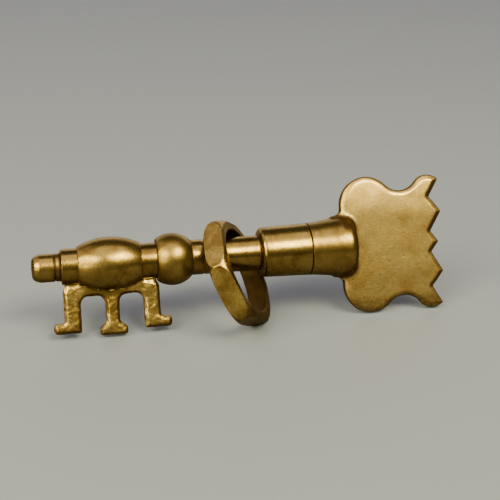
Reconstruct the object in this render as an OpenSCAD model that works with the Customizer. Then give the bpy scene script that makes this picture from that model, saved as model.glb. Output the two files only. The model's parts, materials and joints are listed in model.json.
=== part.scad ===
// Brass corkscrew in the form of an old door key. The shaft is a sheath for a steel worm,
// and the crown-shaped bow pulls out of it as the corkscrew's handle. A loose faceted ring
// hangs on the shaft. All in millimetres.
//
// Each sub-part is drawn in the key's own coordinates: X runs along the shaft, zero at the
// seam between sheath and handle, and Z is the height in the plane of bow and bit. stand()
// then leans the key back and lifts it, so that it stands on its bit foot and its bow.

/* [Stance] */
// How far the key leans back from the vertical, in degrees
lean = 18.7; // [0:0.1:30]

/* [Shaft] */
// Outer diameter of the sheath tube
tube_d = 12.5; // [11.5:0.1:13]
// Bore of the sheath tube
tube_bore = 10; // [9.6:0.1:10.2]
// Distance from the seam to the open left end of the tube
tube_reach = 88.4; // [86:0.1:92]
// Bevel on the tube's left rim
tube_bevel = 0.5; // [0.1:0.1:0.8]
// Diameter of the end plug where it shows
plug_d = 9.9; // [9:0.1:9.9]
// Distance from the seam to the rounded tip of the plug
plug_reach = 98.4; // [95:0.1:102]
// Radius of the plug's rounded edge
plug_round = 2.8; // [1:0.1:4]

/* [Knops] */
// Middle of the barrel knop, from the seam
barrel_x = 71.5; // [71:0.1:72]
// Length of the barrel knop
barrel_len = 22; // [20:0.1:22.5]
// Largest diameter of the barrel knop
barrel_d = 19; // [18:0.1:20]
// Diameter of the barrel knop at its two ends
barrel_end_d = 13.4; // [13.2:0.1:15]
// Centre of the ball knop, from the seam
ball_x = 49.5; // [48:0.1:49.6]
// Diameter of the ball knop
ball_d = 18.6; // [17:0.1:19]
// Distance from the ball's centre to its flat left face
ball_flat = 5.5; // [5:0.1:5.6]

/* [Mouth sleeve] */
// Length of the sleeve on the tube's mouth
sleeve_len = 18; // [16:0.1:19]
// Diameter of the sleeve beside its left shoulder
sleeve_left_d = 18; // [17:0.1:18.4]
// Diameter of sleeve and handle at the seam
seam_d = 18.9; // [18.5:0.1:19.6]
// Width of the open seam between sleeve and handle
seam_gap = 0.3; // [0.2:0.05:0.5]
// Diameter of the socket that takes the handle's spigot
socket_d = 13.6; // [13.4:0.1:14]
// Depth of that socket
socket_depth = 12.4; // [12:0.1:13]

/* [Handle] */
// Largest diameter of the handle's ferrule
ferrule_d = 21.5; // [20.5:0.1:22.5]
// Distance from the seam to the rounded end of the ferrule on the bow
ferrule_len = 17.8; // [16:0.1:19]
// Thickness of the bow plate
bow_thick = 4.4; // [3.5:0.1:5.5]
// Radius of each lobe of the bow
lobe_r = 10.4; // [9.5:0.1:11]
// Distance from the seam to the middle of the lobes
lobe_x = 23.3; // [22:0.1:24]
// Distance from the seam to the tips of the two large points
point_x = 51.7; // [50.5:0.1:53]
// Distance from the seam to the notches between the points
notch_x = 47.3; // [46:0.1:48]
// How far the crown's middle lies below the shaft's axis
bow_drop = 0.5; // [0:0.05:0.5]

/* [Bit] */
// Reach of the bit's middle foot and of the bow's lobes, from the shaft's axis
reach = 25.2; // [25:0.1:26]
// Middle of the bit, from the seam
bit_x = 71.4; // [71.2:0.1:71.6]
// Thickness of the bit
bit_thick = 4.6; // [3.6:0.1:5.2]
// Half the width of the bit's plate across its outer legs
bit_half = 17; // [16.5:0.1:17]
// Width of an arch between two legs
arch_w = 8.15; // [7.5:0.05:8.6]
// Half the width of the middle leg
leg_half = 2.65; // [2.3:0.05:3]

/* [Worm] */
// Outer diameter of the worm's helix
worm_d = 8.6; // [8:0.1:8.8]
// Thickness of the worm's wire
wire_d = 2.8; // [2.4:0.1:3]
// Rise of the worm in one turn
worm_pitch = 9.2; // [8.5:0.1:10]
// Number of turns
worm_turns = 5; // [4:1:5]

/* [Loose ring] */
// Distance from the ring's axis to its six flats
ring_flat = 18.3; // [18.2:0.1:18.4]
// Radius of the ring's bore
ring_bore = 15.5; // [15.5:0.1:15.6]
// Width of the ring
ring_w = 7.7; // [7.5:0.1:7.8]
// Radius of the half-round section that the flats are cut in
ring_round = 4.1; // [4:0.05:4.3]
// Tip of the ring's axis above the shaft's, in degrees
ring_tip = 26.8; // [26.8:0.1:27]
// Turn of the ring's axis towards the front, in degrees
ring_turn = 19; // [18.9:0.1:19.1]
// Turn of the ring about its own axis, in degrees
ring_roll = -2.1; // [-30:0.1:30]

/* [Hidden] */
// Centre of the loose ring from the seam, where it hangs on the shaft and leans on the floor
ring_centre = [-26.77, -5.5, -5.3];
// The ring reaches furthest forward and back, so its centre is the middle of the depth
mid_y = -ring_centre[1];
mid_x = (point_x - plug_reach) / 2;
axis_h = reach * cos(lean) + bit_thick / 2 * sin(lean);
// Segments of a full circle, steps in a rounded corner and in the longer arcs
$fn = 96;
steps = 6;
barrel_steps = 28;
lobe_steps = 24;
waist_steps = 16;
horn_steps = 14;
section_steps = 16;
// How far a cutting bar runs past the face that it cuts
past = 1;
eps = 0.01;
tube_r = tube_d / 2;
half_gap = seam_gap / 2;
// Barrel profile: the radius of the arc that swells from the end to the middle
barrel_swell = (barrel_d - barrel_end_d) / 2;
barrel_arc = (pow(barrel_len / 2, 2) + pow(barrel_swell, 2)) / (2 * barrel_swell);
barrel_sweep = asin(barrel_len / 2 / barrel_arc);
// Plug: how far it is pressed into the tube, and its turned line
plug_press = 8;
plug_line_x = 90.3;
plug_line_w = 0.5;
plug_line_depth = 0.3;
// Rounded left shoulder of the sleeve
shoulder_r = 1.2;
// Spigot: play in the socket, neck in the ferrule, groove for the grip ring
spigot_play = 0.4;
spigot_end_play = 0.3;
spigot_chamfer = 0.5;
spigot_d = socket_d - spigot_play;
spigot_end = socket_depth - spigot_end_play;
neck_d = 9;
neck_len = 8;
groove_x = 6.2;
groove_w = 2.3;
groove_d = 11;
// Grip ring: a split spring ring with a running fit in socket and groove
grip_w = 2;
grip_play = 0.1;
groove_play = 0.2;
grip_d = socket_d - grip_play;
grip_bore = groove_d + groove_play;
grip_split = 2.4;
// Worm: its shank in the spigot, cross pin, and the helix's own radius
shank_r = wire_d / 2;
shank_end = 15.5;
shank_in = 2;
pin_d = 1.2;
pin_x = 9.8;
pin_len = 12.4;
helix_r = (worm_d - wire_d) / 2;
wire_sides = 12;
turn_steps = 20;
lead_in_turns = 0.35;
point_turns = 0.6;
// Thickness of the wire at its point, as a share of the full thickness
point_share = 0.12;
// Length of centre line, in turns, that gives the wire's direction
slope_turns = 0.001;
// Bow: its lower lobe, a little dropped, reaches as far as the bit's foot. The waist and horn
// arcs touch the lobe arc and each other.
bow_left = lobe_x - lobe_r;
drop_slope = bow_drop / (point_x - bow_left);
lobe_c = [lobe_x, reach - lobe_r - drop_slope * lobe_r];
waist_c = [36.2, 26.75];
waist_r = norm(waist_c - lobe_c) - lobe_r;
horn_c = [46.9, 18.66];
horn_r = norm(horn_c - waist_c) - waist_r;
horn_tip_angle = 45;
outer_notch = [notch_x, 16.6];
large_point = [point_x, 11.1];
inner_notch = [notch_x, 3.85];
small_point = [50.3, -0.1];
point_round = 0.5;
notch_round = 0.3;
blend_r = 3;
// Ferrule profile
ferrule_taper_x = 11.5;
ferrule_round = 2.6;
// Bit outline: heights below the axis, half widths, and the radius of each corner
shoulder_v = 6.3;
shoulder_round = 3;
arch_top = 11.1;
toe_reach = 20.9;
toe_top = 19.6;
toe_bottom = 23.7;
foot_half = 5.1;
foot_flare_top = 20.2;
foot_flare_end = 22.5;
heel_round = 0.8;
toe_round = 1.7;
leg_round = 1.2;
arch_round = 2.6;
flare_round = 1.5;
foot_round = 0.9;
sole_round = 1.1;

function unit(v) = v / norm(v);
function angle_of(v) = atan2(v[1], v[0]);
function on_circle(c, r, a) = c + r * [cos(a), sin(a)];
function arc(c, r, a, b, n) = [for (i = [0:n]) on_circle(c, r, a + (b - a) * i / n)];
function short_turn(a) = a > 180 ? a - 360 : a < -180 ? a + 360 : a;

// The points of a corner b, between a and c, rounded with radius r
function corner(a, b, c, r) =
    let (
        u = unit(a - b),
        w = unit(c - b),
        half = acos(u * w) / 2,
        centre = b + unit(u + w) * r / sin(half),
        from = angle_of(b + u * r / tan(half) - centre),
        to = angle_of(b + w * r / tan(half) - centre)
    )
    r == 0 ? [b] : arc(centre, r, from, from + short_turn(to - from), steps);

// A closed outline with a rounded corner at each [x, y, radius]
function rounded(p) =
    let (n = len(p), q = [for (c = p) [c[0], c[1]]])
    [for (i = [0:n - 1]) each corner(q[(i + n - 1) % n], q[i], q[(i + 1) % n], p[i][2])];

// The same outline on the other side of an axis, in reverse order; flip is 0 for X, 1 for Z
function mirrored(p, flip) =
    [for (i = [len(p) - 1:-1:0]) [for (k = [0:len(p[i]) - 1]) k == flip ? -p[i][k] : p[i][k]]];

// An outline of the bow, lower the further it is from the ferrule
function dropped(p) = [for (q = p) [q[0], q[1] - drop_slope * (q[0] - bow_left)]];

module stand() {
    translate([-mid_x, mid_y, axis_h]) rotate([-lean, 0, 0]) children();
}

// A turned piece: its outline is [distance along the shaft, radius]
module turned(outline) {
    rotate([0, 90, 0])
        rotate_extrude() polygon([for (p = outline) [p[1], p[0]]]);
}

// A round bar along the shaft between two distances from the seam
module bar(from, to, r) {
    translate([from, 0, 0]) rotate([0, 90, 0]) cylinder(h = to - from, r = r);
}

// A flat piece in the plane of bow and bit
module plate(outline, thick) {
    rotate([90, 0, 0]) translate([0, 0, -thick / 2]) linear_extrude(thick) polygon(outline);
}

module barrel_solid() {
    swell_c = [-barrel_x, barrel_d / 2 - barrel_arc];
    rim = arc(swell_c, barrel_arc, 90 + barrel_sweep, 90 - barrel_sweep, barrel_steps);
    turned(concat([[-barrel_x - barrel_len / 2, 0]], rim, [[-barrel_x + barrel_len / 2, 0]]));
}

module ball_solid() {
    difference() {
        translate([-ball_x, 0, 0]) sphere(d = ball_d);
        bar(-ball_x - ball_d, -ball_x - ball_flat, ball_d);
    }
}

module sheath_tube() {
    color("#8f6e3a") stand() difference() {
        turned([
            [-tube_reach, 0],
            [-tube_reach, tube_r - tube_bevel],
            [-tube_reach + tube_bevel, tube_r],
            [-socket_depth, tube_r],
            [-socket_depth, 0]
        ]);
        bar(-tube_reach - past, -socket_depth + past, tube_bore / 2);
    }
}

module end_plug() {
    r = plug_d / 2;
    tip_c = [-plug_reach + plug_round, r - plug_round];
    tip = arc(tip_c, plug_round, 180, 90, 2 * steps);
    color("#9a7a42") stand() turned(concat(
        [[-plug_reach, 0]],
        tip,
        [
            [-plug_line_x - plug_line_w / 2, r],
            [-plug_line_x - plug_line_w / 2, r - plug_line_depth],
            [-plug_line_x + plug_line_w / 2, r - plug_line_depth],
            [-plug_line_x + plug_line_w / 2, r],
            [-tube_reach, r],
            [-tube_reach, tube_bore / 2],
            [-tube_reach + plug_press, tube_bore / 2],
            [-tube_reach + plug_press, 0]
        ]
    ));
}

module barrel_knop() {
    color("#8c6b36") stand() difference() {
        barrel_solid();
        bar(-tube_reach, 0, tube_r);
    }
}

module ball_knop() {
    color("#917038") stand() difference() {
        ball_solid();
        bar(-tube_reach, 0, tube_r);
    }
}

module mouth_sleeve() {
    left_r = sleeve_left_d / 2;
    shoulder_c = [-half_gap - sleeve_len + shoulder_r, left_r - shoulder_r];
    shoulder = arc(shoulder_c, shoulder_r, 180, 90, steps);
    color("#93723a") stand() difference() {
        turned(concat(
            [[-half_gap - sleeve_len, 0]],
            shoulder,
            [[-half_gap, seam_d / 2], [-half_gap, 0]]
        ));
        bar(-tube_reach, -socket_depth + eps, tube_r);
        bar(-socket_depth, past, socket_d / 2);
    }
}

// Half of the bit's outline, from the top middle round one outer leg to the sole's middle
bit_leg_inner = leg_half + arch_w;
bit_side = [
    [bit_half, -shoulder_v, shoulder_round],
    [bit_half, -toe_top, heel_round],
    [toe_reach, -toe_top, toe_round],
    [toe_reach, -toe_bottom, toe_round],
    [bit_leg_inner, -toe_bottom, leg_round],
    [bit_leg_inner, -arch_top, arch_round],
    [leg_half, -arch_top, arch_round],
    [leg_half, -foot_flare_top, flare_round],
    [foot_half, -foot_flare_end, foot_round],
    [foot_half, -reach, sole_round]
];

module key_bit() {
    outline = rounded(concat(bit_side, mirrored(bit_side, 0)));
    color("#86642f") stand() difference() {
        translate([-bit_x, 0, 0]) plate(outline, bit_thick);
        barrel_solid();
        bar(-tube_reach - past, 0, tube_r);
    }
}

// The upper edge of the bow, from the ferrule over lobe, waist and horn to the small point
lobe_to_waist = angle_of(waist_c - lobe_c);
waist_to_horn = angle_of(horn_c - waist_c);
bow_upper = concat(
    [[bow_left - blend_r, 0]],
    arc([bow_left - blend_r, ferrule_d / 2 + blend_r], blend_r, -90, 0, steps),
    arc(lobe_c, lobe_r, 180, lobe_to_waist, lobe_steps),
    arc(waist_c, waist_r, lobe_to_waist - 180, waist_to_horn, waist_steps),
    arc(horn_c, horn_r, waist_to_horn + 180, horn_tip_angle, horn_steps)
);
bow_crown = [
    [each outer_notch, notch_round],
    [each large_point, point_round],
    [each inner_notch, notch_round]
];
horn_tip = on_circle(horn_c, horn_r, horn_tip_angle);
crown_points = rounded(concat(
    [[each horn_tip, 0]],
    bow_crown,
    [[each small_point, point_round]],
    mirrored(bow_crown, 1),
    [[horn_tip[0], -horn_tip[1], 0]]
));

module bow_handle() {
    r = ferrule_d / 2;
    end_c = [ferrule_len - ferrule_round, r - ferrule_round];
    rounded_end = arc(end_c, ferrule_round, 90, 0, steps);
    color("#9c7a3f") stand() difference() {
        union() {
            plate(dropped(concat(bow_upper, crown_points, mirrored(bow_upper, 1))), bow_thick);
            turned(concat(
                [[half_gap, 0], [half_gap, seam_d / 2], [ferrule_taper_x, r]],
                rounded_end,
                [[ferrule_len, 0]]
            ));
        }
        bar(-past, half_gap + neck_len, neck_d / 2);
    }
}

module spigot() {
    color("#a5854a") stand() difference() {
        turned([
            [-spigot_end, 0],
            [-spigot_end, spigot_d / 2 - spigot_chamfer],
            [-spigot_end + spigot_chamfer, spigot_d / 2],
            [-groove_x - groove_w / 2, spigot_d / 2],
            [-groove_x - groove_w / 2, groove_d / 2],
            [-groove_x + groove_w / 2, groove_d / 2],
            [-groove_x + groove_w / 2, spigot_d / 2],
            [half_gap, spigot_d / 2],
            [half_gap, neck_d / 2],
            [half_gap + neck_len, neck_d / 2],
            [half_gap + neck_len, 0]
        ]);
        bar(-spigot_end - past, shank_in, shank_r);
        translate([-pin_x, 0, -pin_len / 2]) cylinder(h = pin_len, d = pin_d);
    }
}

// The worm's centre line, a right-handed helix: t counts turns from the shank, and the radius
// grows over the lead-in
function worm_radius(t) = helix_r * sin(90 * min(1, t / lead_in_turns));
function worm_centre(t) = [
    -shank_end - worm_pitch * t,
    worm_radius(t) * cos(360 * t),
    -worm_radius(t) * sin(360 * t)
];
function wire_radius(t) =
    shank_r * max(point_share, sqrt(min(1, (worm_turns - t) / point_turns)));
function worm_slope(t) = unit(worm_centre(t + slope_turns) - worm_centre(t - slope_turns));

// One ring of points round the wire. The first lies flat on the shank's end.
function worm_ring(t) =
    let (
        d = t == 0 ? [-1, 0, 0] : worm_slope(t),
        side = t == 0 ? [0, 0, -1] : unit(cross(d, [1, 0, 0])),
        up = cross(side, d)
    )
    [for (k = [0:wire_sides - 1])
        let (a = 360 * k / wire_sides)
        worm_centre(t) + wire_radius(t) * (cos(a) * side + sin(a) * up)];

// The straight shank runs from its end in the spigot to the start of the helix
module worm() {
    n = worm_turns * turn_steps;
    shank_top = [for (p = worm_ring(0)) p + [shank_end + shank_in, 0, 0]];
    points = concat(shank_top, [for (i = [0:n]) each worm_ring(i / turn_steps)]);
    faces = [for (i = [0:n], k = [0:wire_sides - 1])
        let (a = i * wire_sides + k, b = i * wire_sides + (k + 1) % wire_sides)
        each [[a, b, b + wire_sides], [a, b + wire_sides, a + wire_sides]]];
    caps = [
        [for (k = [wire_sides - 1:-1:0]) k],
        [for (k = [0:wire_sides - 1]) (n + 1) * wire_sides + k]
    ];
    color("#8b8d90") stand() polyhedron(points, concat(faces, caps), convexity = 10);
}

module worm_pin() {
    color("#77797c") stand()
        translate([-pin_x, 0, -pin_len / 2]) cylinder(h = pin_len, d = pin_d);
}

module grip_ring() {
    color("#b59a5e") stand() difference() {
        bar(-groove_x - grip_w / 2, -groove_x + grip_w / 2, grip_d / 2);
        bar(-groove_x - grip_w, -groove_x + grip_w, grip_bore / 2);
        translate([-groove_x - grip_w, -grip_split / 2, 0]) cube([2 * grip_w, grip_split, grip_d]);
    }
}

module loose_ring() {
    section_c = ring_flat / cos(30) - ring_round;
    sweep = asin(ring_w / 2 / ring_round);
    section = arc([0, section_c], ring_round, 90 + sweep, 90 - sweep, section_steps);
    color("#8a6a34") translate([-mid_x, mid_y, axis_h]) translate(ring_centre)
        rotate([ring_roll, -ring_tip, -ring_turn])
        difference() {
            intersection() {
                turned(concat([[-ring_w / 2, 0]], section, [[ring_w / 2, 0]]));
                rotate([0, 90, 0])
                    cylinder(h = 2 * ring_w, r = ring_flat / cos(30), center = true, $fn = 6);
            }
            bar(-ring_w, ring_w, ring_bore);
        }
}

sheath_tube();
end_plug();
barrel_knop();
ball_knop();
mouth_sleeve();
key_bit();
bow_handle();
spigot();
worm();
worm_pin();
grip_ring();
loose_ring();
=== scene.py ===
import json
import math

import bpy
import numpy as np
from mathutils import Matrix, Vector, noise


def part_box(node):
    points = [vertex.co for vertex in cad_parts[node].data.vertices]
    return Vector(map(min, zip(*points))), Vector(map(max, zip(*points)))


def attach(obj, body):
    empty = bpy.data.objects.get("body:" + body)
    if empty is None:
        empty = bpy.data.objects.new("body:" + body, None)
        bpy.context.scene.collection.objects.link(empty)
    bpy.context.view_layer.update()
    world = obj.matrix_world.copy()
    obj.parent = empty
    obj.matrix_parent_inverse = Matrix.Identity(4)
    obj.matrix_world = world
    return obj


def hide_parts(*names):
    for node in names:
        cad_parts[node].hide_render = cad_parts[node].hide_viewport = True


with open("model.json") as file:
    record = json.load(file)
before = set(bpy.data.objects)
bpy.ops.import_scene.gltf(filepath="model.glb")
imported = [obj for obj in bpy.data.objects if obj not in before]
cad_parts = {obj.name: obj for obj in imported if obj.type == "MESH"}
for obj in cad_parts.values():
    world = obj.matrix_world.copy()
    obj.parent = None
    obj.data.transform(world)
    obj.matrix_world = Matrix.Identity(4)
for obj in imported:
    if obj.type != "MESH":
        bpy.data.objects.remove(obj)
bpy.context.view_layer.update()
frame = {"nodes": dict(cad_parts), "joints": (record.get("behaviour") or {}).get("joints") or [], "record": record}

# ---------------------------------------------------------------------------------------
# The key's own coordinates, in millimetres: x along the shaft from the seam, y away from
# the front, z up in the plane of bow and bit. KEY takes them to the row frame in metres.
# ---------------------------------------------------------------------------------------

MM = 0.001
JOINTS = {j["name"]: j for j in frame["joints"]}
MOUNTS = {m["name"]: m for m in frame["record"]["mounts"]}
SEAM = Vector(JOINTS["handle_turn"]["pos_m"])
SOLE_DOWN = Vector(MOUNTS["foot_sole"]["axis"])
LEAN = math.atan2(-SOLE_DOWN.y, -SOLE_DOWN.z)
KEY = (
    Matrix.Translation(SEAM)
    @ Matrix.Rotation(-LEAN, 4, "X")
    @ Matrix.Diagonal((MM, MM, MM, 1))
)


def along(node):
    """Where a node starts and ends along the shaft."""
    low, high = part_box(node)
    return (low.x - SEAM.x) / MM, (high.x - SEAM.x) / MM


def radius(node):
    """The largest radius of a turned node."""
    low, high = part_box(node)
    return (high.y - low.y) / 2 / MM


TUBE_LEFT, TUBE_RIGHT = along("sheath_tube")
TUBE_R = radius("sheath_tube")
BORE_R = radius("end_plug")
SLEEVE_LEFT, SLEEVE_RIGHT = along("mouth_sleeve")
SEAM_R = radius("mouth_sleeve")
HANDLE_LEFT, HANDLE_RIGHT = along("bow_handle")
FERRULE_R = radius("bow_handle")
REACH = (Vector(MOUNTS["foot_sole"]["pos_m"]) - SEAM).dot(SOLE_DOWN) / MM


# ---------------------------------------------------------------------------------------
# Outlines
# ---------------------------------------------------------------------------------------

def arc(centre, r, start, end, steps):
    """Points on a circle between two angles in degrees."""
    angles = np.radians(np.linspace(start, end, steps + 1))
    return np.stack([centre[0] + r * np.cos(angles), centre[1] + r * np.sin(angles)], 1)


def corner(a, b, c, r, steps=6):
    """The corner b between a and c, rounded with radius r."""
    if r <= 0:
        return np.array([b])
    u, w = (a - b) / np.linalg.norm(a - b), (c - b) / np.linalg.norm(c - b)
    half = math.acos(np.clip(u @ w, -1, 1)) / 2
    if half > 1.5:
        return np.array([b])
    middle = (u + w) / np.linalg.norm(u + w)
    centre = b + middle * r / math.sin(half)
    first, last = (b + k * r / math.tan(half) - centre for k in (u, w))
    start, end = (math.degrees(math.atan2(v[1], v[0])) for v in (first, last))
    turn = (end - start + 180) % 360 - 180
    return arc(centre, r, start, start + turn, steps)


def rounded(points, closed=True):
    """An outline from (x, y, corner radius) points."""
    p = np.array([q[:2] for q in points], float)
    n = len(p)
    out = []
    for i in range(n):
        if not closed and i in (0, n - 1):
            out.append(p[i:i + 1])
        else:
            out.append(corner(p[i - 1], p[i], p[(i + 1) % n], points[i][2]))
    return np.concatenate(out)


def dense(points, step, closed=False):
    """The same outline with no stretch longer than step."""
    out = []
    n = len(points)
    for i in range(n if closed else n - 1):
        a, b = points[i], points[(i + 1) % n]
        count = max(1, math.ceil(np.linalg.norm(b - a) / step))
        out.append(a + (b - a) * np.arange(count)[:, None] / count)
    if not closed:
        out.append(points[-1:])
    return np.concatenate(out)


def mirrored(points):
    """The outline's other half, below the shaft, in reverse order."""
    return points[::-1] * [1, -1]


# ---------------------------------------------------------------------------------------
# Mesh makers
# ---------------------------------------------------------------------------------------

SMOOTH_ANGLE = math.radians(32)
# How dark the painted shade on the undersides of turned shapes is.
UNDER_SHADE = 0.60


def fade(value, start, end):
    """0 at start and before it, 1 at end and past it, and straight between them."""
    return np.clip((value - start) / (end - start), 0, 1)


def near(distance, width):
    """1 where the distance is 0, fading smoothly over the width."""
    return np.exp(-(distance / width) ** 2)


def under_shade(height):
    """Painted shade on the underside of a turned shape. height is 1 on its top and -1 below."""
    return UNDER_SHADE * np.clip(-1.4 * height - 0.3, 0, 1)


def hand_noise(points, size, seed):
    """Smooth noise between -1 and 1 at each point; size is how wide a swell is."""
    shift = Vector((seed * 17.3, seed * 5.1, seed * 9.7))
    return np.array([noise.noise(Vector(p) / size + shift) for p in points])


def make_piece(name, points, faces, place, dirt_and_shade=None):
    """A mesh object from points in millimetres; the last argument says how much dirt and painted shade darken each
    point.
    """
    mesh = bpy.data.meshes.new(name)
    rows = np.asarray(points) @ np.array(place.to_3x3()).T + np.array(place.translation)
    mesh.from_pydata(rows.tolist(), [], [tuple(int(i) for i in f) for f in faces])
    mesh.validate()
    mesh.update()
    mesh.shade_smooth()
    mesh.set_sharp_from_angle(angle=SMOOTH_ANGLE)
    held = mesh.attributes.new("dirt_and_shade", "FLOAT", "POINT")
    held.data.foreach_set("value", np.zeros(len(rows)) if dirt_and_shade is None else np.clip(dirt_and_shade, 0, 1))
    piece = bpy.data.objects.new(name, mesh)
    bpy.context.collection.objects.link(piece)
    return piece


def grid_faces(rows, columns, wrap_rows, wrap_columns=True):
    """Quads of a grid of points whose columns, and rows if asked, close on themselves."""
    r = np.arange(rows if wrap_rows else rows - 1)
    c = np.arange(columns if wrap_columns else columns - 1)
    i, j = np.meshgrid(r, c, indexing="ij")
    i2, j2 = (i + 1) % rows, (j + 1) % columns
    quads = np.stack([i * columns + j, i * columns + j2, i2 * columns + j2, i2 * columns + j], -1)
    return quads.reshape(-1, 4).tolist()


def lathe(name, profile, grime_at=(), wobble=0.02, seed=1, turns=160, step=0.5, hollow=False):
    """A turned piece. profile is (x, radius, corner radius); a hollow one is a closed loop.
    grime_at lists (x, width, strength) of the places that hold dirt."""
    line = dense(rounded(profile, closed=hollow), step, closed=hollow)
    angles = np.arange(turns) * 2 * math.pi / turns
    x = np.repeat(line[:, 0], turns)
    r = np.repeat(line[:, 1], turns)
    a = np.tile(angles, len(line))
    points = np.stack([x, r * np.cos(a), r * np.sin(a)], 1)
    swell = (hand_noise(points, 7, seed) - 1) * wobble / 2
    keep = np.clip(r / 2, 0, 1)
    points[:, 1:] *= (1 + swell * keep / np.maximum(r, 0.5))[:, None]
    faces = grid_faces(len(line), turns, hollow)
    if not hollow:
        faces.append(list(range(turns))[::-1])
        last = (len(line) - 1) * turns
        faces.append([last + k for k in range(turns)])
    # Painted shade on the underside, and dirt at the places in grime_at.
    dirt_and_shade = under_shade(np.sin(a))
    for place, width, strength in grime_at:
        dirt_and_shade = np.maximum(dirt_and_shade, strength * near(x - place, width))
    return make_piece(name, points, faces, KEY, dirt_and_shade)


def polygon_distance(outline, x, z):
    """Signed distance to a closed outline, negative inside."""
    best = np.full(np.broadcast(x, z).shape, 1e9)
    inside = np.zeros(best.shape, bool)
    for (ax, az), (bx, bz) in zip(outline, np.roll(outline, -1, 0)):
        ex, ez = bx - ax, bz - az
        wx, wz = x - ax, z - az
        t = np.clip((wx * ex + wz * ez) / max(ex * ex + ez * ez, 1e-12), 0, 1)
        best = np.minimum(best, (wx - ex * t) ** 2 + (wz - ez * t) ** 2)
        if ez != 0:
            crosses = ((az <= z) != (bz <= z)) & (x < ax + ex * (z - az) / ez)
            inside ^= crosses
    return np.where(inside, -1, 1) * np.sqrt(best)


def blend(a, b, width):
    """The union of two distance fields with a fillet about width wide."""
    h = np.clip(0.5 + 0.5 * (b - a) / width, 0, 1)
    return b * (1 - h) + a * h - width * h * (1 - h)


def plate_distance(edge, y, half, bevel, drop, soft):
    """A plate half thick on each side of y = 0. Its bevels are bevel wide and drop deep.
    edge is the distance to its outline, soft the width over which its edges are rounded."""
    slope = (edge * drop + (np.abs(y) - half + drop) * bevel) / np.hypot(drop, bevel)
    return -blend(-slope, blend(-edge, half - np.abs(y), 0.3), soft)


def surface_net(field, low, high, cell):
    """Points and quads of the surface where field is zero, from a grid of cells."""
    axes = [np.arange(low[i], high[i] + cell, cell) for i in range(3)]
    value = field(axes[0][:, None, None], axes[1][None, :, None], axes[2][None, None, :])
    inside = value < 0
    shape = tuple(n - 1 for n in value.shape)
    total = np.zeros(shape + (3,), np.float32)
    count = np.zeros(shape, np.float32)
    steps = [(a, b, c) for a in (0, 1) for b in (0, 1) for c in (0, 1)]
    for start in steps:
        for axis in range(3):
            if start[axis]:
                continue
            end = tuple(start[i] + (i == axis) for i in range(3))
            first = tuple(slice(start[i], start[i] + shape[i]) for i in range(3))
            second = tuple(slice(end[i], end[i] + shape[i]) for i in range(3))
            cross = inside[first] != inside[second]
            gap = value[first] - value[second]
            share = np.where(cross, value[first] / np.where(gap == 0, 1, gap), 0)
            for i in range(3):
                total[..., i] += np.where(cross, start[i] + (share if i == axis else 0), 0)
            count += cross
    used = count > 0
    number = np.full(shape, -1)
    number[used] = np.arange(used.sum())
    index = np.argwhere(used)
    points = (index + total[used] / count[used][:, None]) * cell + np.array(low)
    quads = []
    for axis in range(3):
        u, v = [(1, 2), (2, 0), (0, 1)][axis]
        first = [slice(1, shape[i]) for i in range(3)]
        first[axis] = slice(0, shape[axis])
        second = list(first)
        second[axis] = slice(1, shape[axis] + 1)
        a, b = inside[tuple(first)], inside[tuple(second)]
        for flip in (False, True):
            spots = np.argwhere((a & ~b) if not flip else (b & ~a))
            spots = spots + [0 if i == axis else 1 for i in range(3)]
            ring = []
            for du, dv in ((1, 1), (0, 1), (0, 0), (1, 0)):
                cells = spots.copy()
                cells[:, u] -= du
                cells[:, v] -= dv
                ring.append(number[cells[:, 0], cells[:, 1], cells[:, 2]])
            quad = np.stack(ring[::-1] if flip else ring, 1)
            quads.append(quad)
    return points, np.concatenate(quads)


def settle(field, points, rounds=3):
    """Moves points onto the field's surface, and gives the surface's directions there."""
    eps = 0.02
    for _ in range(rounds):
        here = field(points[:, 0], points[:, 1], points[:, 2])
        slope = np.stack([
            field(*(points + np.eye(3)[i] * eps).T) - here for i in range(3)
        ], 1) / eps
        size = np.maximum((slope ** 2).sum(1), 0.2)
        points = points - np.clip(here / size, -0.3, 0.3)[:, None] * slope
    return points, slope / np.maximum(np.linalg.norm(slope, axis=1), 1e-6)[:, None]


# ---------------------------------------------------------------------------------------
# Materials
# ---------------------------------------------------------------------------------------

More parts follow.
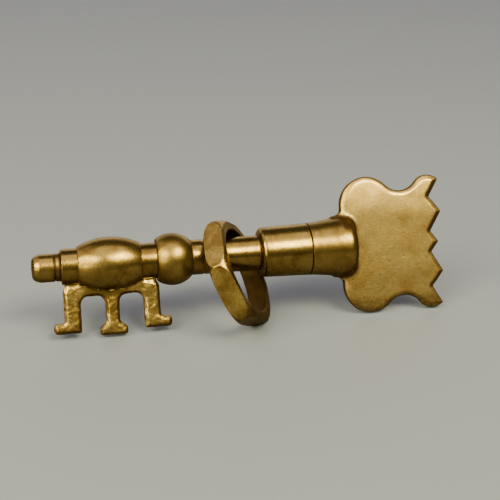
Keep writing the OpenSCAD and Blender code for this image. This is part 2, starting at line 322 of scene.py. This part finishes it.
class Nodes:
    """A short way to build a material's node tree. A position is in millimetres."""

    def __init__(self, name):
        self.material = bpy.data.materials.new(name)
        self.material.use_nodes = True
        self.tree = self.material.node_tree
        self.tree.nodes.clear()
        place = self.tree.nodes.new("ShaderNodeTexCoord")
        self.mm = self.add("ShaderNodeVectorMath", {0: place.outputs["Object"]}, operation="SCALE")
        self.mm.node.inputs["Scale"].default_value = 1 / MM

    def add(self, kind, links=None, values=None, **settings):
        node = self.tree.nodes.new(kind)
        for key, value in settings.items():
            setattr(node, key, value)
        for key, value in (values or {}).items():
            node.inputs[key].default_value = value
        for key, socket in (links or {}).items():
            self.tree.links.new(socket, node.inputs[key])
        return next(s for s in node.outputs if s.enabled)

    def stretch(self, x, y, z):
        return self.add("ShaderNodeVectorMath", {0: self.mm}, {1: (x, y, z)}, operation="MULTIPLY")

    def noise(self, size, detail=4.0, rough=0.55, where=None, distortion=0.0):
        """Noise whose swells are about size millimetres wide."""
        return self.add(
            "ShaderNodeTexNoise",
            {"Vector": where or self.mm},
            {"Scale": 1 / size, "Detail": detail, "Roughness": rough, "Distortion": distortion},
        )

    def ramp(self, value, *stops, smooth=False):
        """A colour or grey ramp; each stop is (position, grey or colour)."""
        node = self.tree.nodes.new("ShaderNodeValToRGB")
        node.color_ramp.interpolation = "EASE" if smooth else "LINEAR"
        points = node.color_ramp.elements
        while len(points) < len(stops):
            points.new(0.5)
        for point, (position, colour) in zip(points, stops):
            point.position = position
            grey = isinstance(colour, (int, float))
            point.color = (colour, colour, colour, 1) if grey else (*colour, 1)
        self.tree.links.new(value, node.inputs["Fac"])
        return node.outputs["Color"]

    def math(self, operation, a, b):
        links = {i: v for i, v in enumerate((a, b)) if not isinstance(v, (int, float))}
        values = {i: v for i, v in enumerate((a, b)) if isinstance(v, (int, float))}
        return self.add("ShaderNodeMath", links, values, operation=operation)

    def mix(self, amount, a, b, blend="MIX"):
        node = self.tree.nodes.new("ShaderNodeMix")
        node.data_type = "RGBA"
        node.blend_type = blend
        sockets = {
            "Factor": next(s for s in node.inputs if s.name == "Factor" and s.enabled),
            "A": next(s for s in node.inputs if s.name == "A" and s.enabled),
            "B": next(s for s in node.inputs if s.name == "B" and s.enabled),
        }
        for key, value in (("Factor", amount), ("A", a), ("B", b)):
            if isinstance(value, (int, float)):
                sockets[key].default_value = value
            elif isinstance(value, tuple):
                sockets[key].default_value = (*value, 1)
            else:
                self.tree.links.new(value, sockets[key])
        return next(s for s in node.outputs if s.enabled)

    def bump(self, height, depth, strength=1.0, under=None):
        """A bump whose full height is depth millimetres."""
        links = {"Height": height}
        if under is not None:
            links["Normal"] = under
        return self.add(
            "ShaderNodeBump", links, {"Distance": depth * MM, "Strength": strength})

    def finish(self, colour, roughness, normal, metallic=1.0):
        shader = self.tree.nodes.new("ShaderNodeBsdfPrincipled")
        shader.inputs["Metallic"].default_value = metallic
        if metallic:
            shader.inputs["Specular Tint"].default_value = (0.92, 0.80, 0.62, 1)
        self.tree.links.new(colour, shader.inputs["Base Color"])
        self.tree.links.new(roughness, shader.inputs["Roughness"])
        self.tree.links.new(normal, shader.inputs["Normal"])
        output = self.tree.nodes.new("ShaderNodeOutputMaterial")
        self.tree.links.new(shader.outputs["BSDF"], output.inputs["Surface"])
        return self.material


CLEAN = (0.270, 0.168, 0.043)
HONEY = (0.185, 0.108, 0.022)
OILED = (0.155, 0.094, 0.024)
TARNISHED = (0.098, 0.054, 0.011)
BROWN = (0.052, 0.024, 0.006)
# DARK is the colour of pits, dirt and painted shade.
DARK = (0.018, 0.007, 0.003)


def aged_brass(name, clean=CLEAN, honey=HONEY, patina=0.5, speckle=0.3, pits=0.4,
               rough=(0.18, 0.32), turned=0.0, grain=0.3):
    """Old brass: a clean to honey base, brown patina in clouds and specks, dark pits, and dirt and painted shade
    where the mesh's attribute says. turned adds lathe lines, grain a cast or filed skin."""
    n = Nodes(name)
    clouds = n.noise(9, detail=5, rough=0.6, distortion=0.6)
    fine = n.noise(1.1, detail=6, rough=0.65)
    specks = n.noise(0.34, detail=3, rough=0.7)
    base = n.mix(n.ramp(clouds, (0.35, 0.0), (0.68, 1.0), smooth=True), clean, honey)
    brown = n.math("MULTIPLY", n.ramp(n.math("ADD", n.math("MULTIPLY", clouds, 0.6), n.math(
        "MULTIPLY", fine, 0.4)), (0.44, 0.0), (0.66, 1.0), smooth=True), patina)
    base = n.mix(brown, base, BROWN)
    dots = n.math("MULTIPLY", n.ramp(specks, (0.52, 0.0), (0.68, 1.0)), speckle)
    base = n.mix(dots, base, BROWN)
    cells = n.tree.nodes.new("ShaderNodeTexVoronoi")
    cells.inputs["Scale"].default_value = 1 / 2.1
    n.tree.links.new(n.mm, cells.inputs["Vector"])
    chosen = n.ramp(cells.outputs["Color"], (1 - pits * 0.5, 0.0), (1 - pits * 0.5 + 0.02, 1.0))
    hole = n.ramp(cells.outputs["Distance"], (0.06, 1.0), (0.13, 0.0), smooth=True)
    pit = n.math("MULTIPLY", chosen, hole)
    base = n.mix(n.math("MULTIPLY", pit, 0.85), base, DARK)
    # Dirt and painted shade from the mesh darken the base towards DARK, and roughen it.
    dirt_and_shade = n.add("ShaderNodeAttribute", attribute_name="dirt_and_shade").node.outputs["Fac"]
    dirt_and_shade_mix = n.ramp(n.math("ADD", dirt_and_shade, n.math("MULTIPLY", n.math("SUBTRACT", fine, 0.5), 0.5)),
                   (0.25, 0.0), (0.8, 1.0), smooth=True)
    base = n.mix(n.math("MULTIPLY", dirt_and_shade_mix, 0.9), base, DARK)
    soft = n.ramp(n.math("ADD", n.math("MULTIPLY", fine, 0.5), n.math("MULTIPLY", clouds, 0.5)),
                  (0.3, rough[0]), (0.7, rough[1]))
    soft = n.math("ADD", soft, n.math("MULTIPLY", dirt_and_shade_mix, 0.25))
    skin = n.bump(n.noise(0.45, detail=4, rough=0.6), 0.05, grain)
    skin = n.bump(n.noise(3.5, detail=2), 0.12, 0.35, under=skin)
    if turned:
        lines = n.noise(1, detail=3, rough=0.7, where=n.stretch(7.0, 0.12, 0.12))
        skin = n.bump(lines, 0.03, turned, under=skin)
    skin = n.bump(n.math("SUBTRACT", 1.0, pit), 0.12, 0.9, under=skin)
    return n.finish(base, soft, skin)


def steel(name, colour=(0.42, 0.42, 0.43), rough=(0.22, 0.42)):
    """Drawn steel wire: fine scratches along its length and a few dull spots."""
    n = Nodes(name)
    clouds = n.noise(3.0, detail=5)
    fine = n.noise(0.4, detail=4)
    base = n.mix(n.ramp(clouds, (0.42, 0.0), (0.72, 0.5)), colour, (0.16, 0.13, 0.11))
    soft = n.ramp(fine, (0.3, rough[0]), (0.7, rough[1]))
    return n.finish(base, soft, n.bump(fine, 0.02, 0.4))


DRAWN = aged_brass("drawn_brass", OILED, TARNISHED, patina=0.55, speckle=0.2, pits=0.25,
                   turned=0.35, grain=0.2)
TURNED = aged_brass("turned_brass", OILED, TARNISHED, patina=0.6, speckle=0.25, pits=0.35,
                    rough=(0.21, 0.36), turned=0.35, grain=0.25)
BALL = aged_brass("ball_brass", OILED, TARNISHED, patina=0.55, speckle=0.6, pits=1.0,
                  rough=(0.25, 0.40), turned=0.1, grain=0.7)
FERRULE = aged_brass("ferrule_brass", OILED, TARNISHED, patina=0.5, speckle=0.3, pits=0.4,
                     rough=(0.24, 0.36), turned=0.2, grain=0.35)
BOW = aged_brass("bow_brass", (0.300, 0.188, 0.060), (0.225, 0.133, 0.036), patina=0.3,
                 speckle=0.8, pits=1.0, rough=(0.28, 0.42), turned=0.3, grain=1.0)
CAST = aged_brass("cast_brass", patina=0.6, speckle=0.6, pits=0.6, rough=(0.22, 0.38), grain=1.0)
FACETED = aged_brass("faceted_brass", patina=0.6, speckle=0.8, pits=0.4, rough=(0.20, 0.36),
                     grain=0.8)
BRIGHT = aged_brass("bright_brass", (0.60, 0.42, 0.13), (0.50, 0.33, 0.09), patina=0.15,
                    speckle=0.05, pits=0.1, rough=(0.16, 0.3), turned=0.5, grain=0.1)
STEEL = steel("worm_steel")
PIN_STEEL = steel("pin_steel", colour=(0.30, 0.30, 0.31))


def dress(piece, material, node, body):
    """Gives a piece its material and its body, and hides the CAD node that it stands for."""
    piece.data.materials.append(material)
    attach(piece, body)
    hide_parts(node)


# ---------------------------------------------------------------------------------------
# The sheath: tube, plug, knops and sleeve
# ---------------------------------------------------------------------------------------

NECK_LINE = -38.4
PLUG_LINE = -90.3
BARREL_END_R = 6.7


def barrel_arc():
    """The arc that is turned into the barrel: its centre along and off the axis, its radius,
    and half the barrel's length."""
    left, right = along("barrel_knop")
    r, half = radius("barrel_knop"), (right - left) / 2
    swell = r - BARREL_END_R
    bow_r = (half ** 2 + swell ** 2) / (2 * swell)
    return (left + right) / 2, r - bow_r, bow_r, half


def make_tube():
    """The tube, with a fine line turned between ball and sleeve."""
    rim, worn, line_depth = 0.5, 0.15, 0.18
    profile = [
        (TUBE_LEFT, BORE_R, worn),
        (TUBE_LEFT, TUBE_R - rim, worn),
        (TUBE_LEFT + rim, TUBE_R, 0.3),
        (NECK_LINE - 0.5, TUBE_R, 0.1),
        (NECK_LINE - 0.2, TUBE_R - line_depth, 0.1),
        (NECK_LINE + 0.2, TUBE_R - line_depth, 0.1),
        (NECK_LINE + 0.5, TUBE_R, 0.1),
        (TUBE_RIGHT, TUBE_R, worn),
        (TUBE_RIGHT, BORE_R, worn),
    ]
    barrel = along("barrel_knop")
    ball = along("ball_knop")
    dirt = [
        (barrel[0], 0.6, 0.45), (barrel[1], 0.6, 0.45), (ball[0], 0.5, 0.65),
        (ball[1], 0.8, 0.6), (NECK_LINE, 0.4, 0.5), (SLEEVE_LEFT, 0.7, 0.7),
    ]
    tube = lathe("tube", profile, dirt, seed=2, hollow=True, step=0.6)
    dress(tube, DRAWN, "sheath_tube", "sheath")


def make_plug():
    """The plug: a rounded end, a groove beside the tube, and a stem pressed into the bore."""
    left, right = along("end_plug")
    r = MOUNTS["plug_end"]["dims"]["r_mm"]
    line_depth = 0.3
    profile = [
        (left, 0.2, 0),
        (left + 0.15, r * 0.5, 3),
        (left + 0.45, r - 0.9, 2.2),
        (left + 2.9, r, 2.2),
        (PLUG_LINE - 0.35, r, 0.12),
        (PLUG_LINE - 0.2, r - line_depth, 0.1),
        (PLUG_LINE + 0.2, r - line_depth, 0.1),
        (PLUG_LINE + 0.35, r, 0.12),
        (TUBE_LEFT + 0.3, r, 0),
        (TUBE_LEFT + 0.35, BORE_R, 0),
        (right, BORE_R, 0.3),
        (right, 0.2, 0),
    ]
    dirt = [(PLUG_LINE, 0.7, 0.8), (TUBE_LEFT, 0.9, 0.9)]
    plug = lathe("plug", profile, dirt, seed=3, step=0.35)
    dress(plug, TURNED, "end_plug", "sheath")


def make_barrel():
    left, right = along("barrel_knop")
    middle, drop, bow_r, half = barrel_arc()
    sweep = math.degrees(math.asin(half / bow_r))
    skin = arc((middle, drop), bow_r, 90 + sweep, 90 - sweep, 40)
    worn = [0.35] + [0] * (len(skin) - 2) + [0.35]
    profile = [(x, y, r) for (x, y), r in zip(skin, worn)]
    profile = [(left, TUBE_R, 0), *profile, (right, TUBE_R, 0)]
    dirt = [(left, 0.5, 0.35), (right, 0.5, 0.3)]
    barrel = lathe("barrel", profile, dirt, wobble=0.06, seed=4, hollow=True)
    dress(barrel, TURNED, "barrel_knop", "sheath")


def make_ball():
    """The ball. It meets the tube at its right end, and has a face on its left."""
    left, right = along("ball_knop")
    r = radius("ball_knop")
    centre = right - math.sqrt(r ** 2 - TUBE_R ** 2)
    start = math.degrees(math.acos((left - centre) / r))
    end = math.degrees(math.acos((right - centre) / r))
    skin = arc((centre, 0), r, start, end, 40)
    worn = [0.3] + [0] * (len(skin) - 1)
    profile = [(left, TUBE_R, 0), *((x, y, r) for (x, y), r in zip(skin, worn))]
    dirt = [(left, 0.3, 0.6), (right, 0.8, 0.6)]
    ball = lathe("ball", profile, dirt, wobble=0.05, seed=5, hollow=True, step=0.4)
    dress(ball, BALL, "ball_knop", "sheath")


def make_sleeve():
    """The sleeve, with the socket that the grip ring slides in."""
    socket_r = radius("grip_ring") + 0.05
    profile = [
        (SLEEVE_LEFT, TUBE_R, 0.1),
        (SLEEVE_LEFT, SEAM_R - 0.5, 2.0),
        (SLEEVE_RIGHT, SEAM_R, 0.18),
        (SLEEVE_RIGHT, socket_r, 0.3),
        (TUBE_RIGHT, socket_r, 0.2),
        (TUBE_RIGHT, TUBE_R, 0),
    ]
    dirt = [(SLEEVE_LEFT, 0.25, 0.4), (SLEEVE_RIGHT, 0.2, 0.7)]
    sleeve = lathe("sleeve", profile, dirt, wobble=0.04, seed=6, hollow=True)
    dress(sleeve, DRAWN, "mouth_sleeve", "sheath")


# ---------------------------------------------------------------------------------------
# The bit, a filed casting with braze in its corners
# ---------------------------------------------------------------------------------------

BIT_X = (MOUNTS["foot_sole"]["pos_m"][0] - SEAM.x) / MM
BIT_THICK = 4.6
BIT_HALF = 17
BIT_TOP = -4.6
BIT_CELL = 0.26
LEG_HALF = 2.65
ARCH_W = 8.15
BRAZE = 2.0


def bit_outline():
    """The bit seen from the front: three legs with feet, and two arches between them."""
    inner = LEG_HALF + ARCH_W
    side = [
        (BIT_HALF, -6.3, 3.0),
        (BIT_HALF, -19.6, 1.0),
        (20.9, -19.65, 1.7),
        (20.9, -23.7, 1.7),
        (inner, -23.7, 1.3),
        (inner, -11.1, 2.7),
        (LEG_HALF, -11.1, 2.7),
        (LEG_HALF, -20.2, 1.8),
        (5.1, -22.5, 0.9),
        (5.1, -REACH, 1.1),
    ]
    other = [(-x, z, r) for x, z, r in side[::-1]]
    return rounded(side + other) + [BIT_X, 0]


def shaft_distance(x, y, z):
    """Distance to tube and barrel together, where the bit is brazed on."""
    middle, drop, bow_r, half = barrel_arc()
    axle = np.hypot(y, z)
    barrel = np.hypot(x - middle, axle - drop) - bow_r
    barrel = np.maximum(barrel, np.abs(x - middle) - half)
    return np.minimum(barrel, axle - TUBE_R)


def make_bit():
    """The bit, brazed on the shaft. Its faces fall off towards worn edges. It is dirty along the braze, and has
    painted shade on its feet and on the bevels that face right or down."""
    outline = bit_outline()

    def field(x, y, z):
        edge = polygon_distance(outline, x, z)
        half = BIT_THICK / 2 - 0.2 * fade(edge, -2.5, 0) ** 2
        plate = plate_distance(edge, y, half, bevel=1.25, drop=0.75, soft=0.25)
        shaft = shaft_distance(x, y, z)
        joined = blend(plate, shaft + 0.12, BRAZE)
        return np.maximum(np.maximum(joined, -0.08 - shaft), z - BIT_TOP)

    low, high = (BIT_X - 22, -4.4, -REACH - 0.6), (BIT_X + 22, 4.4, -4.0)
    points, quads = surface_net(field, low, high, BIT_CELL)
    points, outward = settle(field, points)
    swell = hand_noise(points, 2.6, 7) + 0.6 * hand_noise(points, 1.1, 11) - 1.6
    points = points + outward * (swell * 0.16)[:, None]
    points[:, 2] = np.maximum(points[:, 2], -REACH)
    x, y, z = points.T
    braze_dirt = 0.4 * near(np.maximum(shaft_distance(x, y, z), 0), 1.0)
    # Painted shade on the feet, near the floor.
    foot_shade = 0.62 * fade(z, -16, -21)
    # Painted shade on the bevels that face right or down.
    turned_away = fade(np.maximum(outward[:, 0], -outward[:, 2]), 1 / 6, 0.5)
    bevel_shade = 0.75 * turned_away * fade(polygon_distance(outline, x, z), -1.5, -1.1)
    dirt_and_shade = np.maximum.reduce([braze_dirt, foot_shade, bevel_shade])
    bit = make_piece("bit", points, quads, KEY, dirt_and_shade)
    dress(bit, CAST, "key_bit", "sheath")


# ---------------------------------------------------------------------------------------
# The handle: crown bow and ferrule in one casting
# ---------------------------------------------------------------------------------------

BOW_LEFT = 12.9
BOW_RIGHT = 51.7
BOW_THICK = 4.4
BOW_DROP = 0.5
LOBE_R = 10.4
FERRULE_LEN = 17.4
FERRULE_FILLET = 2.2
HANDLE_CELL = 0.36


def angle(a, b):
    """The direction from a to b, in degrees."""
    return math.degrees(math.atan2(b[1] - a[1], b[0] - a[0]))


def bow_outline():
    """The crown bow: lobe, waist and horn arcs that touch, and the points. Its middle drops
    a little below the shaft's axis towards the points."""
    slope = BOW_DROP / (BOW_RIGHT - BOW_LEFT)
    lobe = (BOW_LEFT + LOBE_R, REACH - LOBE_R - slope * LOBE_R)
    waist, horn = (36.2, 26.75), (46.9, 18.66)
    waist_r = math.dist(waist, lobe) - LOBE_R
    horn_r = math.dist(horn, waist) - waist_r
    to_waist, to_horn = angle(lobe, waist), angle(waist, horn)
    upper = np.concatenate([
        [[BOW_LEFT - 3, 0]],
        arc((BOW_LEFT - 3, FERRULE_R + 3), 3, -90, 0, 8),
        arc(lobe, LOBE_R, 180, to_waist, 40),
        arc(waist, waist_r, to_waist - 180, to_horn, 24),
        arc(horn, horn_r, to_horn + 180, 45, 20),
    ])
    tip = upper[-1]
    crown = rounded([
        (*tip, 0),
        (47.3, 16.6, 0.3), (48.9, 14.8, 2.0), (BOW_RIGHT, 11.1, 0.5),
        (47.3, 3.85, 0.3), (50.3, -0.1, 0.5), (47.3, -3.85, 0.3),
        (BOW_RIGHT, -11.1, 0.5), (48.9, -14.8, 2.0), (47.3, -16.6, 0.3),
        (tip[0], -tip[1], 0),
    ], closed=False)
    line = np.concatenate([upper[:-1], crown, mirrored(upper)[1:]])
    return line - np.outer(slope * (line[:, 0] - BOW_LEFT), [0, 1])


def ferrule_outline():
    """The ferrule cut along its axis."""
    upper = rounded([
        (HANDLE_LEFT, 0, 0), (HANDLE_LEFT, SEAM_R, 0.2),
        (4, SEAM_R + 0.35, 6), (11.5, FERRULE_R, 6),
        (FERRULE_LEN, FERRULE_R - 0.25, 3.6), (FERRULE_LEN, 0, 0),
    ], closed=False)
    return np.concatenate([upper, mirrored(upper)[1:-1]])


def handle_dirt_and_shade(points, outward, boss, edge, plate):
    """Dirt in the seam, and painted shade on the handle: where ferrule and bow meet, on the ferrule's end, top and
    underside, low on the bow, round its rim and on the crown's bevels that face right, most on those that face
    down. boss, edge and plate are the distances to the ferrule, the bow's outline and the bow's surface."""
    x, y, z = points.T
    on_boss = z / np.maximum(np.hypot(y, z), 1)
    # The crown's bevels that face right, which get painted shade.
    crown = fade(edge, -2.1, -1.6) * fade(outward[:, 0], 0.1, 0.35) * (x > 43)
    # Dirt in the seam; painted shade in all the other places.
    return np.maximum.reduce([
        0.7 * near(x - HANDLE_LEFT, 0.25),
        0.95 * near(np.maximum(boss, plate), 1.5) * (x > 9),
        0.85 * fade(x, 14.8, 16.3) * (boss < 0.4),
        0.8 * fade(x, 10.5, 12.5) * fade(z, 4, 7) * (boss < 0.6),
        under_shade(on_boss) * (boss < 0.3),
        0.66 * fade(z, -9, -21),
        0.8 * fade(edge, -0.9, -0.4) * (boss > 1.5),
        crown * np.where(outward[:, 2] < 0, 0.9, 0.55),
    ])


def make_handle():
    """The handle. The bow's faces fall off towards its top and bottom, its bevels are wide
    at the lobes and sharp at the points, and a fillet joins it to the ferrule."""
    outline, ferrule = bow_outline(), ferrule_outline()

    def plate_field(x, y, z):
        edge = polygon_distance(outline, x, z)
        soft = 0.15 + 0.35 * fade(x, 41, 33)
        dome = 0.9 * fade(np.abs(z), 9, 24) ** 2
        bevel = 1.35 + 0.95 * fade(x, 19, 15) + 0.5 * fade(x, 41, 44)
        return plate_distance(edge, y, BOW_THICK / 2 - dome, bevel, 1.0, soft)

    def field(x, y, z):
        plate = plate_field(x, y, z)
        boss = polygon_distance(ferrule, x, np.hypot(y, z))
        socket = np.maximum(np.hypot(y, z) - 4.5, x - HANDLE_LEFT - 8)
        return np.maximum(blend(plate, boss, FERRULE_FILLET), -socket)

    low = (HANDLE_LEFT - 0.7, -FERRULE_R - 0.7, -REACH - 0.7)
    high = (HANDLE_RIGHT + 0.9, FERRULE_R + 0.7, REACH + 0.7)
    points, quads = surface_net(field, low, high, HANDLE_CELL)
    points, outward = settle(field, points)
    swell = hand_noise(points, 6.5, 8) - 1
    free = fade(points[:, 0], HANDLE_LEFT, HANDLE_LEFT + 2)
    points = points + outward * (swell * 0.07 * free)[:, None]
    points[:, 0] = np.clip(points[:, 0], HANDLE_LEFT, HANDLE_RIGHT)
    points[:, 2] = np.clip(points[:, 2], -REACH, REACH)
    x, y, z = points.T
    boss = np.abs(polygon_distance(ferrule, x, np.hypot(y, z)))
    edge, plate = polygon_distance(outline, x, z), np.abs(plate_field(x, y, z))
    dirt_and_shade = handle_dirt_and_shade(points, outward, boss, edge, plate)
    handle = make_piece("handle", points, quads, KEY, dirt_and_shade)
    dress(handle, BOW, "bow_handle", "handle")
    handle.data.materials.append(FERRULE)
    on_ferrule = (boss[quads].mean(1) < 0.3) & (x[quads].mean(1) < FERRULE_LEN + 0.1)
    handle.data.polygons.foreach_set("material_index", on_ferrule.astype(np.int32))


# ---------------------------------------------------------------------------------------
# Inside: spigot, grip ring, worm and pin
# ---------------------------------------------------------------------------------------

def make_spigot():
    """The spigot, with the groove that holds the grip ring."""
    left, right = along("spigot")
    r = radius("spigot")
    groove = [sum(along("grip_ring")) / 2 + s * 1.15 for s in (-1, 1)]
    bore, neck = 1.4, 4.5
    profile = [
        (left, bore, 0),
        (left, r, 0.5),
        (groove[0], r, 0.1),
        (groove[0], r - 1.1, 0.1),
        (groove[1], r - 1.1, 0.1),
        (groove[1], r, 0.1),
        (HANDLE_LEFT, r, 0),
        (HANDLE_LEFT, neck, 0),
        (right, neck, 0.3),
        (right, bore, 0),
    ]
    dirt = [(groove[0], 0.3, 0.7), (groove[1], 0.3, 0.7), (HANDLE_LEFT, 0.4, 0.8)]
    spigot = lathe("spigot_turned", profile, dirt, wobble=0.0, seed=9, hollow=True)
    dress(spigot, BRIGHT, "spigot", "handle")


def make_worm():
    """The worm: a straight shank, a helix that opens out over its first third of a turn, and
    a wire that tapers to a point."""
    low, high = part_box("worm")
    start = -15.5
    tip = (low.x - SEAM.x) / MM
    wire = 1.4
    helix = (high.y - low.y) / 2 / MM - wire
    turns, lead, point = 5, 0.35, 0.6
    pitch = (start - tip) / turns
    steps, sides = 48, 20
    t = np.concatenate([[-1.0, -0.5], np.arange(turns * steps + 1) / steps])
    r = helix * np.sin(np.pi / 2 * np.clip(t / lead, 0, 1))
    a = 2 * np.pi * t
    shank_top = (high.x - SEAM.x) / MM
    x = np.where(t < 0, start - t * (shank_top - start), start - pitch * t)
    centre = np.stack([x, r * np.cos(a), -r * np.sin(a)], 1)
    thick = wire * np.clip(np.sqrt(np.clip((turns - t) / point, 0, 1)), 0.1, 1)
    d = np.gradient(centre, axis=0)
    d /= np.linalg.norm(d, axis=1)[:, None]
    side = np.zeros_like(d)
    side[:] = (0, 0, -1)
    for i in range(1, len(d)):
        side[i] = side[i - 1] - d[i] * (side[i - 1] @ d[i])
        side[i] /= np.linalg.norm(side[i])
    up = np.cross(side, d)
    k = np.arange(sides) * 2 * np.pi / sides
    ring = np.cos(k)[None, :, None] * side[:, None] + np.sin(k)[None, :, None] * up[:, None]
    points = (centre[:, None] + thick[:, None, None] * ring).reshape(-1, 3)
    faces = grid_faces(len(t), sides, False)
    faces.append(list(range(sides))[::-1])
    faces.append([(len(t) - 1) * sides + j for j in range(sides)])
    worm = make_piece("worm_helix", points, faces, KEY)
    dress(worm, STEEL, "worm", "handle")


def finish_cad_node(node, material, bevel):
    """A CAD node that is kept: its material, and a small bevel on its edges."""
    piece = frame["nodes"][node]
    for i in range(len(piece.data.materials)):
        piece.data.materials[i] = material
    if not piece.data.materials:
        piece.data.materials.append(material)
    edge = piece.modifiers.new("edge", "BEVEL")
    edge.width = bevel * MM
    edge.segments = 2
    edge.limit_method = "ANGLE"
    edge.angle_limit = math.radians(40)


# ---------------------------------------------------------------------------------------
# The loose ring: a half-round band with six flats filed on it
# ---------------------------------------------------------------------------------------

RING_FLAT = 18.3
RING_BORE = 15.5
RING_W = 7.7
RING_ROUND = 4.1
RING_ROLL = -2.1
RING_CELL = 0.27


def make_ring():
    centre = Vector(MOUNTS["hanging_ring"]["pos_m"])
    axis = Vector(MOUNTS["hanging_ring"]["axis"])
    tip = math.asin(axis.z)
    turn = math.atan2(-axis.y, axis.x)
    place = (
        Matrix.Translation(centre)
        @ Matrix.Rotation(-turn, 4, "Z")
        @ Matrix.Rotation(-tip, 4, "Y")
        @ Matrix.Rotation(math.radians(RING_ROLL), 4, "X")
        @ Matrix.Diagonal((MM, MM, MM, 1))
    )
    crest = RING_FLAT / math.cos(math.pi / 6)
    section = crest - RING_ROUND

    def field(x, y, z):
        r = np.hypot(y, z)
        a = np.arctan2(y, z)
        a = (a % (np.pi / 3)) - np.pi / 6
        flats = r * np.cos(a) - RING_FLAT
        band = np.hypot(x, r - section) - RING_ROUND
        outer = -blend(-flats, -band, 0.16)
        sides = np.abs(x) - RING_W / 2
        bore = RING_BORE - r
        inner = -blend(-sides, -bore, 0.7)
        return -blend(-outer, -inner, 0.35)

    high = np.array([RING_W / 2, crest, crest]) + 0.6
    points, quads = surface_net(field, -high, high, RING_CELL)
    points, outward = settle(field, points)
    swell = hand_noise(points, 4, 10) - 1
    points = points + outward * (swell * 0.05)[:, None]
    # Painted shade inside the bore and on the lower half of the ring.
    inside = fade(np.hypot(points[:, 1], points[:, 2]), RING_BORE + 1.2, RING_BORE)
    dirt_and_shade = np.maximum(inside, 0.72 * fade(points[:, 2], -1, -10))
    ring = make_piece("ring", points, quads, place, dirt_and_shade)
    dress(ring, FACETED, "loose_ring", "ring")


make_tube()
make_plug()
make_barrel()
make_ball()
make_sleeve()
make_bit()
make_handle()
make_spigot()
make_worm()
make_ring()
finish_cad_node("grip_ring", BRIGHT, 0.15)
finish_cad_node("worm_pin", PIN_STEEL, 0.1)


# ---------------------------------------------------------------------------------------
# Studio: pale floor, soft lights, camera
# ---------------------------------------------------------------------------------------

FLOOR_HALF = 1.6
FLOOR_GREY = (0.0720, 0.0695, 0.0845)
AIM = (0, 0, 0.02)


def plain(name, colour, rough):
    """A matt material with a faint unevenness of tone."""
    n = Nodes(name)
    tone = n.noise(60, detail=3)
    base = n.mix(n.ramp(tone, (0.3, 0.0), (0.7, 1.0)), tuple(c * 0.985 for c in colour), colour)
    soft = n.ramp(tone, (0.0, rough), (1.0, rough + 0.04))
    return n.finish(base, soft, n.bump(tone, 0.01, 0.05), 0)


def make_floor():
    mesh = bpy.data.meshes.new("floor")
    corners = [(a * FLOOR_HALF, b * FLOOR_HALF, 0) for a, b in ((-1, -1), (1, -1), (1, 1), (-1, 1))]
    mesh.from_pydata(corners, [], [(0, 1, 2, 3)])
    mesh.materials.append(plain("floor_grey", FLOOR_GREY, 0.65))
    floor = bpy.data.objects.new("floor", mesh)
    bpy.context.collection.objects.link(floor)


def softbox(name, where, size, power, colour=(1, 1, 1), target=AIM):
    """A rectangular light that faces the target."""
    light = bpy.data.lights.new(name, "AREA")
    light.shape = "RECTANGLE"
    light.size, light.size_y = size
    light.energy = power
    light.color = colour
    lamp = bpy.data.objects.new(name, light)
    lamp.location = where
    lamp.rotation_mode = "QUATERNION"
    lamp.rotation_quaternion = (Vector(target) - Vector(where)).to_track_quat("-Z", "Y")
    bpy.context.collection.objects.link(lamp)


def around(azimuth, elevation, distance):
    """A place seen from the key: azimuth to the right of the front, elevation above the floor."""
    az, el = math.radians(azimuth), math.radians(elevation)
    return Vector((
        math.sin(az) * math.cos(el), -math.cos(az) * math.cos(el), math.sin(el)
    )) * distance + Vector(AIM)


make_floor()
softbox("right_light", around(29, 48, 1.0), (0.62, 0.38), 42.0, (0.97, 1, 0.60))
softbox("left_light", around(-53, 39, 1.0), (0.66, 0.42), 34.0, (0.97, 1, 0.62))
softbox("low_left_light", around(-50, 13, 1.0), (0.50, 0.22), 6.0, (0.96, 1, 0.62))
softbox("front_light", around(-25, 13, 1.3), (0.9, 0.45), 1.0)
softbox("side_light", around(-118, 45, 1.2), (0.7, 0.6), 3.0)
softbox("top_light", (0, -0.25, 1.6), (1.7, 1.2), 25.0)
softbox("back_light", (0.2, 2.4, 0.85), (4.0, 1.4), 36.0, target=(0, 0, 0.05))

world = bpy.data.worlds.new("studio")
world.use_nodes = True
world.node_tree.nodes["Background"].inputs["Color"].default_value = (0.80, 0.80, 0.80, 1)
world.node_tree.nodes["Background"].inputs["Strength"].default_value = 0.21
bpy.context.scene.world = world


def make_camera():
    """The camera stands to the front and left of the seam and looks down at the key."""
    from_seam = Vector((-0.09296, -0.33690, 0.13904))
    yaw, pitch, roll = (math.radians(a) for a in (12.031, 21.808, 0.32))
    right = Vector((math.cos(yaw), -math.sin(yaw), 0))
    level = Vector((math.sin(yaw), math.cos(yaw), 0))
    ahead = level * math.cos(pitch) - Vector((0, 0, math.sin(pitch)))
    up = right.cross(ahead)
    right, up = (
        right * math.cos(roll) + up * math.sin(roll),
        up * math.cos(roll) - right * math.sin(roll),
    )
    data = bpy.data.cameras.new("camera")
    data.lens = 74.4
    data.sensor_width = 36
    data.clip_start = 0.01
    camera = bpy.data.objects.new("camera", data)
    turn = Matrix((right, up, -ahead)).transposed().to_4x4()
    camera.matrix_world = Matrix.Translation(SEAM + from_seam) @ turn
    bpy.context.collection.objects.link(camera)
    bpy.context.scene.camera = camera


make_camera()
